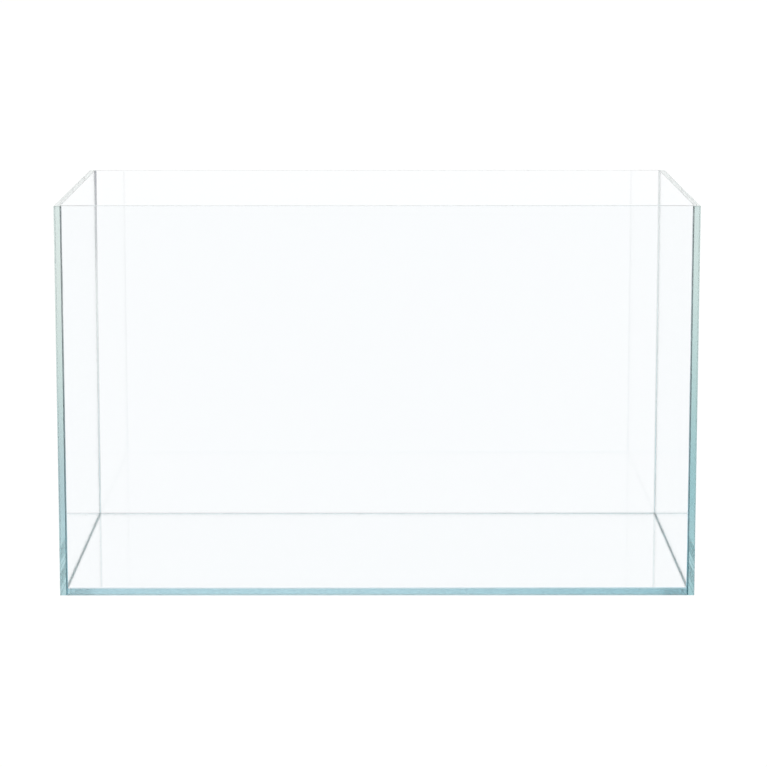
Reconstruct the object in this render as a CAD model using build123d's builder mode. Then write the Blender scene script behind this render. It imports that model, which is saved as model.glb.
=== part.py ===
from build123d import *
import os

# Rimless glass aquarium tank: five panes of low-iron glass bonded with clear silicone.
#
# Millimetres, +Z up. The origin is the centre of the base, on the surface the tank stands on.
# X runs along the width, Y along the depth, and the front pane faces -Y.

# Driving dimensions of the finished tank.
WIDTH = 600
DEPTH = 360
HEIGHT = 370
GLASS = 6  # thickness of every pane
ARRIS = 0.25  # 45-degree bevel on every edge of the glass
BOND = 0.5  # silicone between the end of one pane and the face of the next
RECESS = 0.1  # how far the upright bonds are trimmed back below the outer glass faces
BEAD = 1.2  # leg of the inner sealing bead
BEAD_HOLLOW = 0.4  # middle of the bead's hollow face, from the corner, as a share of its leg

# Distances of the jointed glass faces from the middle of the tank.
INSIDE_X = WIDTH / 2 - GLASS  # inner faces of the side panes
INSIDE_Y = DEPTH / 2 - GLASS  # inner faces of the front and back panes
END_X = INSIDE_X - BOND  # ends of the front, back and bottom panes
END_Y = INSIDE_Y - BOND  # front and back edges of the bottom pane

os.makedirs("parts", exist_ok=True)


def save(piece, name):
    """Label a finished piece and write its own STEP file."""
    piece.label = name
    export_step(piece, f"parts/{name}.step")


def pane(name, width, depth, height, x=0, y=0):
    """A sheet of glass with its lowest face on the ground and a bevel on every edge."""
    with BuildPart() as glass:
        with Locations((x, y)):
            Box(width, depth, height, align=(Align.CENTER, Align.CENTER, Align.MIN))
        chamfer(glass.edges(), ARRIS)
    save(glass.part, name)


def corner_plane(side, end, height):
    """Plan view of an upright corner, with +X leading in from the side pane and +Y from the end pane.

    side is -1 for the left and 1 for the right; end is -1 for the front and 1 for the back.
    """
    corner = (side * INSIDE_X, end * INSIDE_Y, height)
    return Plane(origin=corner, x_dir=(-side, 0, 0), z_dir=(0, 0, side * end))


def base_plane(side, end, height):
    """Section across a joint at the foot of one wall, with +X leading in from the wall and +Y upward.

    One of side and end names the wall, as for corner_plane, and the other is 0.
    """
    foot = (side * INSIDE_X, end * INSIDE_Y, height)
    return Plane(origin=foot, x_dir=(-side, -end, 0), z_dir=(-end, side, 0))


def upright_bond_outline():
    """Fills the gap beside the end of the front or back pane and the bevels at both of its mouths."""
    flare = ARRIS - RECESS
    Polyline(
        (0, 0),
        (BOND + ARRIS, 0),
        (BOND, -ARRIS),
        (BOND, ARRIS - GLASS),
        (BOND + flare, RECESS - GLASS),
        (-flare, RECESS - GLASS),
        (0, ARRIS - GLASS),
        close=True,
    )


def base_bond_outline():
    """Fills the gap beside the bottom pane and its upper bevel, clear of the ground."""
    Polyline(
        (0, ARRIS),
        (BOND, ARRIS),
        (BOND, GLASS - ARRIS),
        (BOND + ARRIS, GLASS),
        (0, GLASS),
        close=True,
    )


def bead_outline():
    """A fillet with its two legs on the glass and a hollow, tooled face."""
    middle = BEAD_HOLLOW * BEAD
    Polyline((BEAD, 0), (0, 0), (0, BEAD))
    ThreePointArc((0, BEAD), (middle, middle), (BEAD, 0))


def silicone(name, plane, outline, length, cut_by=()):
    """A strip of silicone centred on the plane that its outline is drawn on, fitted round other strips."""
    with BuildPart() as strip:
        with BuildSketch(plane):
            with BuildLine():
                outline()
            make_face()
        extrude(amount=length / 2, both=True)
        for neighbour in cut_by:
            add(neighbour, mode=Mode.SUBTRACT)
    save(strip.part, name)
    return strip.part


# The walls. The side panes run the full depth, and the front and back panes stand between them.
for name, side in (("left", -1), ("right", 1)):
    pane(f"{name}_pane", GLASS, DEPTH, HEIGHT, x=side * (WIDTH - GLASS) / 2)
for name, end in (("front", -1), ("back", 1)):
    pane(f"{name}_pane", 2 * END_X, GLASS, HEIGHT, y=end * (DEPTH - GLASS) / 2)

# The bottom pane lies inside the walls.
pane("bottom_pane", 2 * END_X, 2 * END_Y, GLASS)

# Upright silicone: a bond in each corner joint, and a bead inside it that stands on the bottom pane.
BOND_LENGTH = HEIGHT - 2 * ARRIS
BEAD_LENGTH = HEIGHT - ARRIS - GLASS
upright_beads = []
for end_name, end in (("front", -1), ("back", 1)):
    for side_name, side in (("left", -1), ("right", 1)):
        corner = f"{end_name}_{side_name}"
        bond_plane = corner_plane(side, end, ARRIS + BOND_LENGTH / 2)
        silicone(f"{corner}_bond", bond_plane, upright_bond_outline, BOND_LENGTH)
        bead_plane = corner_plane(side, end, GLASS + BEAD_LENGTH / 2)
        bead = silicone(f"{corner}_bead", bead_plane, bead_outline, BEAD_LENGTH)
        upright_beads.append(bead)

# Silicone round the bottom pane. The long strips meet the side panes; the short ones fit between them.
long_bonds = []
long_beads = []
for name, end in (("front", -1), ("back", 1)):
    bond = silicone(f"bottom_{name}_bond", base_plane(0, end, 0), base_bond_outline, 2 * INSIDE_X)
    bead = silicone(
        f"bottom_{name}_bead", base_plane(0, end, GLASS), bead_outline, 2 * INSIDE_X, upright_beads
    )
    long_bonds.append(bond)
    long_beads.append(bead)
for name, side in (("left", -1), ("right", 1)):
    silicone(
        f"bottom_{name}_bond", base_plane(side, 0, 0), base_bond_outline, 2 * INSIDE_Y, long_bonds
    )
    silicone(
        f"bottom_{name}_bead",
        base_plane(side, 0, GLASS),
        bead_outline,
        2 * INSIDE_Y,
        upright_beads + long_beads,
    )
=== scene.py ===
"""Rimless glass aquarium tank on a white floor in a plain white studio. Metres throughout."""

import math
import bmesh
import bpy
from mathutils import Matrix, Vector, noise


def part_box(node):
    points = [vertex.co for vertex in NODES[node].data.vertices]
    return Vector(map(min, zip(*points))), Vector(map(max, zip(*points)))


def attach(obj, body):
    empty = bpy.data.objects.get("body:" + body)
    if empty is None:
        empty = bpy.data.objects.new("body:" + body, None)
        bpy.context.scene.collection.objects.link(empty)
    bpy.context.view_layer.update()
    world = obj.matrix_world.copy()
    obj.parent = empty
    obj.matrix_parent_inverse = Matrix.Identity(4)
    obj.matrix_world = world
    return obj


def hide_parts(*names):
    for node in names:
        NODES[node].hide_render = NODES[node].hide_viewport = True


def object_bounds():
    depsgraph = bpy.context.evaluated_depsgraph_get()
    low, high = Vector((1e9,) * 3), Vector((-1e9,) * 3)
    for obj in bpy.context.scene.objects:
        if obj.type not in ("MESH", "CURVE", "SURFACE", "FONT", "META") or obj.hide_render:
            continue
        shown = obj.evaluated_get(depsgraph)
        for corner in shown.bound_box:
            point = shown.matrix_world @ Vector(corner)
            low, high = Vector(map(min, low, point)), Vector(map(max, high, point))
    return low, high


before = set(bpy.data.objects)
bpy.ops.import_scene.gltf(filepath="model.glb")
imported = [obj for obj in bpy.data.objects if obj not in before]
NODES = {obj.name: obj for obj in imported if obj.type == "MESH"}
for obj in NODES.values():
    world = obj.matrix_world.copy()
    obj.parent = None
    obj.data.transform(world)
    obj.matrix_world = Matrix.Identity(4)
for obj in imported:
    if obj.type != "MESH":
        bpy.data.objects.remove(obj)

CAD_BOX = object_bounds()
WIDTH = CAD_BOX[1].x - CAD_BOX[0].x
HEIGHT = CAD_BOX[1].z - CAD_BOX[0].z

# Camera, in metres and degrees.
CAMERA_DISTANCE = 2.786  # from the front face
CAMERA_HEIGHT = 0.662
CAMERA_RIGHT = 0.002
CAMERA_DOWN = 9.35
CAMERA_TURN = 0.08
LENS = 141.7  # in millimetres, as is the sensor
SENSOR_WIDTH = 36
VIEW_END = 50  # nothing farther than this from the camera is drawn

# Studio.
FLOOR_SIZE = 14.0
FLOOR_GAP = 0.0002  # between the floor and the glass that stands on it
STUDIO_LIGHT = 1.04  # radiance of the floor and of everything round it
LIGHT_BOUNCES = 128  # light that enters a rim is reflected about 70 times on its way down the pane

# Low-iron glass. Tints are of light that crosses a surface, in red, green and blue.
GLASS_IOR = 1.52
ABSORPTION = (0.36, 0.22, 0.26)  # per metre
ABSORPTION_HEADROOM = 1.25  # keeps every channel of an absorption colour above 0
# How squarely a face looks along an axis: below the first number it is an edge, and between the two a bevel.
EDGE_FACING = 0.5
BEVEL_FACING = 0.9
FACE_TINT = (0.963, 0.972, 0.978)  # large faces
CLOUDED_FACE_TINT = (0.957, 0.968, 0.976)  # and their slightly darker patches
FACE_CLOUD_SIZE = 0.12
CLEAR = (1, 1, 1)
# Polished edges of the bottom pane, from its left end to its right.
BASE_EDGE_TINTS = {
    0: (0.51, 0.8, 0.88),
    0.3: (0.53, 0.82, 0.9),
    0.65: (0.52, 0.81, 0.89),
    1: (0.5, 0.78, 0.86),
}
# Polished edges of the walls, by depth below the rim as a share of the height: the glass's own teal with
# painted shade, lighter near the rim, darker and more teal towards the foot, lighter again just above it.
LEFT_EDGE_TINTS_AND_SHADE = {
    0: (0.77, 0.84, 0.83),
    0.25: (0.75, 0.81, 0.79),
    0.5: (0.63, 0.74, 0.73),
    0.8: (0.43, 0.58, 0.63),
    0.9: (0.44, 0.62, 0.67),
    0.95: (0.53, 0.74, 0.79),
    1: (0.48, 0.69, 0.74),
}
# The right wall's edges carry darker painted shade than the left's.
RIGHT_EDGE_TINTS_AND_SHADE = {
    0: (0.72, 0.8, 0.8),
    0.25: (0.65, 0.77, 0.76),
    0.5: (0.49, 0.66, 0.67),
    0.8: (0.31, 0.54, 0.59),
    0.88: (0.32, 0.57, 0.62),
    0.95: (0.47, 0.66, 0.71),
    1: (0.41, 0.62, 0.67),
}
# Polished edges of the front and back panes: the glass's own teal with painted shade, darker towards the
# foot.
END_EDGE_TINTS_AND_SHADE = {0: (0.87, 0.91, 0.9), 1: (0.67, 0.79, 0.82)}
SIDE_RIM_SHADE = (0.94, 0.92, 0.92)  # upward edges of the walls, greyed by painted shade
# upward edges of the front and back panes, greyed by painted shade
END_RIM_SHADE = (0.89, 0.85, 0.84)
CORNER_SHADE = (0.48, 0.52, 0.52)  # painted shade: a dark band on the ground corners where a polished edge meets the rim
CORNER_SIZE = 0.0012
ARRIS_TINT = (0.88, 0.87, 0.87)  # ground bevels
ARRIS_ROUGHNESS = 0.3
EDGE_ROUGHNESS = 0.03
STREAK_PITCH = 0.0008  # of polishing lines across an edge
STREAK_LENGTH = 0.15
STREAK_BUMP = 0.000002

# Clear silicone.
SILICONE_IOR = 1.41
SWELL = 0.00003  # how far silicone sinks into the glass that it wets
BEAD_WAVE = 0.2  # change in a bead's size along its length, as a share of it
WAVE_LENGTH = 0.035
STATION = 0.006  # spacing of the cross sections of a bead
WELD = 1e-6  # corners of the CAD mesh closer than this are one
CUT = 1e-7  # corners closer than this to a cutting plane lie on it
SMOOTH_BELOW = 35  # degrees between faces that are shaded as one
CLOUD_SIZE = 0.025  # of lighter and darker stretches in the silicone
TOOL_MARK = 0.0015
TOOL_BUMP = 0.00003
PATCH_TINT = (0.3, 0.38, 0.36)
PATCH_CONTRAST = 4  # of the patches, as a multiple of how much they cover
# How much of a joint the patches cover.
FAINT = 0.1
PATCHY = 0.25
# Roughness of the silicone.
GLOSSY = 0.1
SATIN = 0.15
HAZY = 0.2
FRONT_ABSORPTION = (170, 142, 136)  # per metre, in the two upright joints at the front
# Tints of the upright joints, by depth as above. On the front joints the grey, and the teal towards the
# foot, is painted shade on clear silicone, darker on the right joint.
FRONT_LEFT_PAINTED_SHADE = {
    0: (0.54, 0.58, 0.59),
    0.25: (0.64, 0.68, 0.68),
    0.6: (0.4, 0.53, 0.55),
    1: (0.46, 0.76, 0.84),
}
FRONT_RIGHT_PAINTED_SHADE = {0: (0.62, 0.66, 0.66), 0.5: (0.46, 0.6, 0.63), 1: (0.32, 0.68, 0.77)}
# Painted shade: the back-left joint greyed at the top, fading to clear at 0.35 of the depth.
BACK_LEFT_PAINTED_SHADE = {0: (0.66, 0.66, 0.69), 0.35: CLEAR}
# Tints of the joints round the base, from left to right: painted shade on clear silicone, darker towards the
# right end, and the right-hand joint darker than the left.
BASE_FRONT_PAINTED_SHADE = {
    0: (0.95, 0.98, 1.0),
    0.5: (0.93, 0.97, 0.99),
    0.8: (0.8, 0.9, 0.93),
    1: (0.72, 0.86, 0.9),
}
BASE_BACK_PAINTED_SHADE = {0: (0.95, 0.93, 0.93), 0.6: (0.94, 0.92, 0.92), 1: (0.87, 0.89, 0.89)}
BASE_LEFT_PAINTED_SHADE = {0: (0.76, 0.95, 0.96)}
BASE_RIGHT_PAINTED_SHADE = {0: (0.6, 0.88, 0.92)}


def principled(name):
    """A new material with its Principled node and its output."""
    material = bpy.data.materials.new(name)
    material.use_nodes = True
    tree = material.node_tree
    return material, tree, tree.nodes["Principled BSDF"], tree.nodes["Material Output"]


def fill(tree, socket, value):
    """Gives an input a number, a colour or a link."""
    if hasattr(value, "links"):
        tree.links.new(value, socket)
    elif hasattr(value, "__len__"):
        socket.default_value = (*value, 1)
    else:
        socket.default_value = value


def calculate(tree, operation, *values):
    node = tree.nodes.new("ShaderNodeMath")
    node.operation = operation
    for socket, value in zip(node.inputs, values):
        fill(tree, socket, value)
    return node.outputs[0]


def blend_colours(tree, factor, first, second):
    node = tree.nodes.new("ShaderNodeMixRGB")
    for socket, value in zip(node.inputs, (factor, first, second)):
        fill(tree, socket, value)
    return node.outputs[0]


def absorb(tree, output, per_metre):
    """Absorption inside the material, in red, green and blue."""
    density = max(per_metre) * ABSORPTION_HEADROOM
    volume = tree.nodes.new("ShaderNodeVolumeAbsorption")
    volume.inputs["Color"].default_value = (*[1 - share / density for share in per_metre], 1)
    volume.inputs["Density"].default_value = density
    tree.links.new(volume.outputs["Volume"], output.inputs["Volume"])


def graded(tree, factor, colours):
    """A colour that runs through the given ones as the factor passes their keys."""
    ramp = tree.nodes.new("ShaderNodeValToRGB")
    tree.links.new(factor, ramp.inputs[0])
    stops = ramp.color_ramp.elements
    stops.remove(stops[1])
    for position, colour in colours.items():
        stop = stops.new(position) if position else stops[0]
        stop.color = (*colour, 1)
    return ramp.outputs[0]


def parts(tree, vector):
    """The three numbers of a vector."""
    node = tree.nodes.new("ShaderNodeSeparateXYZ")
    tree.links.new(vector, node.inputs[0])
    return node.outputs


def place(tree):
    """Object coordinates, which are the tank's own, in metres."""
    return tree.nodes.new("ShaderNodeTexCoord").outputs["Object"]


def cloud(tree, sizes, detail=2):
    """Noise from 0 to 1 with features of the given size along X, Y and Z."""
    scale = tree.nodes.new("ShaderNodeMapping")
    scale.inputs["Scale"].default_value = [1 / size for size in sizes]
    tree.links.new(place(tree), scale.inputs["Vector"])
    texture = tree.nodes.new("ShaderNodeTexNoise")
    texture.inputs["Scale"].default_value = 1
    texture.inputs["Detail"].default_value = detail
    tree.links.new(scale.outputs[0], texture.inputs["Vector"])
    return texture.outputs[0]


def bump(tree, height, distance):
    node = tree.nodes.new("ShaderNodeBump")
    node.inputs["Strength"].default_value = 1
    node.inputs["Distance"].default_value = distance
    tree.links.new(height, node.inputs["Height"])
    return node.outputs[0]


def depth(tree):
    """0 at the rim and 1 at the foot."""
    up = parts(tree, place(tree))[2]
    return calculate(tree, "SUBTRACT", 1, calculate(tree, "DIVIDE", up, HEIGHT))


def rightward(tree):
    """0 at the left end of the tank and 1 at the right."""
    across = parts(tree, place(tree))[0]
    return calculate(tree, "ADD", calculate(tree, "DIVIDE", across, WIDTH), 0.5)


def facing(tree, axis):
    """How squarely a face looks along an axis, from 0 to 1."""
    normal = tree.nodes.new("ShaderNodeNewGeometry").outputs["True Normal"]
    return calculate(tree, "ABSOLUTE", parts(tree, normal)[axis])


def both(tree, first, second):
    return calculate(tree, "MULTIPLY", first, second)


def glass(name, across, edge_tints, rim_tint=CLEAR):
    """Clear low-iron glass. across is the axis that the pane's large faces look along."""
    material, tree, shader, output = principled(name)
    edge = calculate(tree, "LESS_THAN", facing(tree, across), EDGE_FACING)
    upright = calculate(tree, "LESS_THAN", facing(tree, 2), EDGE_FACING)
    not_square = calculate(tree, "LESS_THAN", facing(tree, across), BEVEL_FACING)
    bevel = calculate(tree, "SUBTRACT", not_square, edge)
    streak_sizes = [STREAK_LENGTH] * 3
    streak_sizes[across] = STREAK_PITCH
    streaks = cloud(tree, streak_sizes, detail=1)
    polished = both(tree, edge, upright)

    down = depth(tree)
    # Edge tints grade with depth below the rim, or along the base from left to right; on the walls and end
    # panes the grading is painted shade.
    edge_tint = graded(tree, down if across < 2 else rightward(tree), edge_tints)
    # Painted shade: a dark band at the top of each upright polished edge.
    corner = calculate(tree, "LESS_THAN", down, CORNER_SIZE / HEIGHT)
    edge_tint = blend_colours(tree, corner, edge_tint, CORNER_SHADE)
    # Level edges of the walls and end panes take their rim tint, a painted grey shade.
    level_tint = rim_tint if across < 2 else edge_tint
    edge_tint = blend_colours(tree, upright, level_tint, edge_tint)
    face_tint = blend_colours(tree, cloud(tree, [FACE_CLOUD_SIZE] * 3), FACE_TINT, CLOUDED_FACE_TINT)
    face_tint = blend_colours(tree, bevel, face_tint, ARRIS_TINT)
    tint = blend_colours(tree, edge, face_tint, edge_tint)
    tree.links.new(tint, shader.inputs["Base Color"])

    roughness = both(tree, polished, both(tree, streaks, EDGE_ROUGHNESS))
    roughness = calculate(tree, "MULTIPLY_ADD", bevel, ARRIS_ROUGHNESS, roughness)
    tree.links.new(roughness, shader.inputs["Roughness"])
    tree.links.new(bump(tree, both(tree, polished, streaks), STREAK_BUMP), shader.inputs["Normal"])

    shader.inputs["Transmission Weight"].default_value = 1
    shader.inputs["IOR"].default_value = GLASS_IOR
    absorb(tree, output, ABSORPTION)
    return material


def silicone(name, progress, tints, roughness, variation=0, per_metre=None):
    """Clear silicone. Its tint runs through the given ones as progress passes their keys.

    variation is how much of it darker patches cover.
    """
    material, tree, shader, output = principled(name)
    # Painted shade: the joint's tint grades along it as given; the patches below vary at random.
    tint = graded(tree, progress(tree), tints)
    clouds = cloud(tree, [CLOUD_SIZE] * 3, detail=3)
    if variation:
        contrast = PATCH_CONTRAST * variation
        patches = calculate(tree, "MULTIPLY_ADD", clouds, contrast, variation - contrast / 2)
        patches = calculate(tree, "MINIMUM", calculate(tree, "MAXIMUM", patches, 0), 1)
        tint = blend_colours(tree, patches, tint, PATCH_TINT)
    tree.links.new(tint, shader.inputs["Base Color"])
    tree.links.new(bump(tree, cloud(tree, [TOOL_MARK] * 3), TOOL_BUMP), shader.inputs["Normal"])
    rough = calculate(tree, "MULTIPLY_ADD", clouds, roughness, roughness / 2)
    tree.links.new(rough, shader.inputs["Roughness"])
    shader.inputs["Transmission Weight"].default_value = 1
    shader.inputs["IOR"].default_value = SILICONE_IOR
    if per_metre:
        absorb(tree, output, per_metre)
    return material


def welded(node):
    """A node's shape as one closed bmesh without custom normals."""
    mesh = node.data.copy()
    mesh.attributes.remove(mesh.attributes["custom_normal"])
    form = bmesh.new()
    form.from_mesh(mesh)
    bpy.data.meshes.remove(mesh)
    bmesh.ops.remove_doubles(form, verts=form.verts, dist=WELD)
    bmesh.ops.recalc_face_normals(form, faces=form.faces)
    form.normal_update()
    return form


def finished(form, name):
    """A mesh made from a bmesh, smooth except at its corners."""
    mesh = bpy.data.meshes.new(name)
    form.to_mesh(mesh)
    form.free()
    mesh.shade_smooth()
    mesh.set_sharp_from_angle(angle=math.radians(SMOOTH_BELOW))
    return mesh


def wetted(node):
    """A copy of a silicone node that sinks a hair into the glass and the silicone round it."""
    form = welded(node)
    for vertex in form.verts:
        vertex.co += vertex.normal * SWELL
    return finished(form, node.name)


def hand_tooled(node, place_name):
    """A copy of a bead whose size wanders along its length, sunk a hair into its corner."""
    low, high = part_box(node.name)
    size = high - low
    along = max(range(3), key=lambda axis: size[axis])
    towards_low = {"left": 0, "front": 1, "bottom": 2}  # the axis that each word of a place belongs to
    towards_high = {"right": 0, "back": 1}
    corner = {}
    for word in place_name.split("_"):
        if word in towards_low:
            corner[towards_low[word]] = low[towards_low[word]]
        else:
            corner[towards_high[word]] = high[towards_high[word]]
    corner.pop(along, None)
    form = welded(node)
    direction = Vector((0, 0, 0))
    direction[along] = 1
    stations = int(size[along] / STATION)
    for station in range(1, stations):
        middle = low.copy()
        middle[along] += size[along] * station / stations
        geometry = form.verts[:] + form.edges[:] + form.faces[:]
        bmesh.ops.bisect_plane(form, geom=geometry, plane_co=middle, plane_no=direction, dist=CUT)
    seed = sum(map(ord, node.name))
    for vertex in form.verts:
        wander = noise.noise(Vector((seed, 0, vertex.co[along] / WAVE_LENGTH)))
        for axis, wall in corner.items():
            inward = 1 if wall == low[axis] else -1
            vertex.co[axis] = wall + (vertex.co[axis] - wall) * (1 + BEAD_WAVE * wander) - inward * SWELL
    return finished(form, node.name)


def seam(name, node, material):
    """The finished form of one silicone node."""
    place_name, kind = name.rsplit("_", 1)
    mesh = hand_tooled(node, place_name) if kind == "bead" else wetted(node)
    mesh.materials.append(material)
    piece = bpy.data.objects.new(f"tooled_{name}", mesh)
    bpy.context.scene.collection.objects.link(piece)
    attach(piece, "root")
    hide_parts(name)


def studio_floor():
    mesh = bpy.data.meshes.new("studio_floor")
    half = FLOOR_SIZE / 2
    corners = [(-half, -half, 0), (half, -half, 0), (half, half, 0), (-half, half, 0)]
    mesh.from_pydata(corners, [], [(0, 1, 2, 3)])
    floor = bpy.data.objects.new("studio_floor", mesh)
    bpy.context.scene.collection.objects.link(floor)
    material, _, shader, _ = principled("studio_floor")
    shader.inputs["Base Color"].default_value = (0, 0, 0, 1)
    shader.inputs["Roughness"].default_value = 1
    shader.inputs["Specular IOR Level"].default_value = 0
    shader.inputs["Emission Color"].default_value = (1, 1, 1, 1)
    shader.inputs["Emission Strength"].default_value = STUDIO_LIGHT
    mesh.materials.append(material)
    floor.location.z = -FLOOR_GAP


def studio_world():
    world = bpy.data.worlds.new("studio")
    bpy.context.scene.world = world
    world.use_nodes = True
    background = world.node_tree.nodes["Background"]
    background.inputs["Color"].default_value = (1, 1, 1, 1)
    background.inputs["Strength"].default_value = STUDIO_LIGHT


def camera():
    data = bpy.data.cameras.new("camera")
    data.lens = LENS
    data.sensor_width = SENSOR_WIDTH
    camera = bpy.data.objects.new("camera", data)
    bpy.context.scene.collection.objects.link(camera)
    front = CAD_BOX[0].y
    camera.location = (CAMERA_RIGHT, front - CAMERA_DISTANCE, CAMERA_HEIGHT)
    camera.rotation_euler = (math.radians(90 - CAMERA_DOWN), 0, math.radians(-CAMERA_TURN))
    data.clip_end = VIEW_END
    bpy.context.scene.camera = camera


# The left and right walls get separate glass so that their edges carry different painted shade, the right's
# darker.
PANE_GLASS = {
    "left": glass("left_glass", 0, LEFT_EDGE_TINTS_AND_SHADE, SIDE_RIM_SHADE),
    "right": glass("right_glass", 0, RIGHT_EDGE_TINTS_AND_SHADE, SIDE_RIM_SHADE),
    "front": glass("end_glass", 1, END_EDGE_TINTS_AND_SHADE, END_RIM_SHADE),
    "bottom": glass("base_glass", 2, BASE_EDGE_TINTS),
}
PANE_GLASS["back"] = PANE_GLASS["front"]
SILICONE = {
    "front_left": silicone("front_left_silicone", depth, FRONT_LEFT_PAINTED_SHADE, HAZY, FAINT, FRONT_ABSORPTION),
    "front_right": silicone("front_right_silicone", depth, FRONT_RIGHT_PAINTED_SHADE, HAZY, FAINT, FRONT_ABSORPTION),
    "back_left": silicone("back_left_silicone", depth, BACK_LEFT_PAINTED_SHADE, SATIN),
    "back_right": silicone("back_right_silicone", depth, {0: CLEAR}, SATIN),
    "bottom_front": silicone("bottom_front_silicone", rightward, BASE_FRONT_PAINTED_SHADE, GLOSSY),
    "bottom_back": silicone("bottom_back_silicone", rightward, BASE_BACK_PAINTED_SHADE, GLOSSY),
    "bottom_left": silicone("bottom_left_silicone", rightward, BASE_LEFT_PAINTED_SHADE, SATIN, PATCHY),
    "bottom_right": silicone("bottom_right_silicone", rightward, BASE_RIGHT_PAINTED_SHADE, SATIN, PATCHY),
}

for name, node in list(NODES.items()):
    if name.endswith("_pane"):
        node.data.materials.clear()
        node.data.materials.append(PANE_GLASS[name.split("_")[0]])
    else:
        seam(name, node, SILICONE[name.rsplit("_", 1)[0]])

studio_floor()
studio_world()
camera()
scene = bpy.context.scene
scene.view_settings.view_transform = "Standard"
scene.cycles.max_bounces = LIGHT_BOUNCES
scene.cycles.glossy_bounces = LIGHT_BOUNCES
scene.cycles.transmission_bounces = LIGHT_BOUNCES
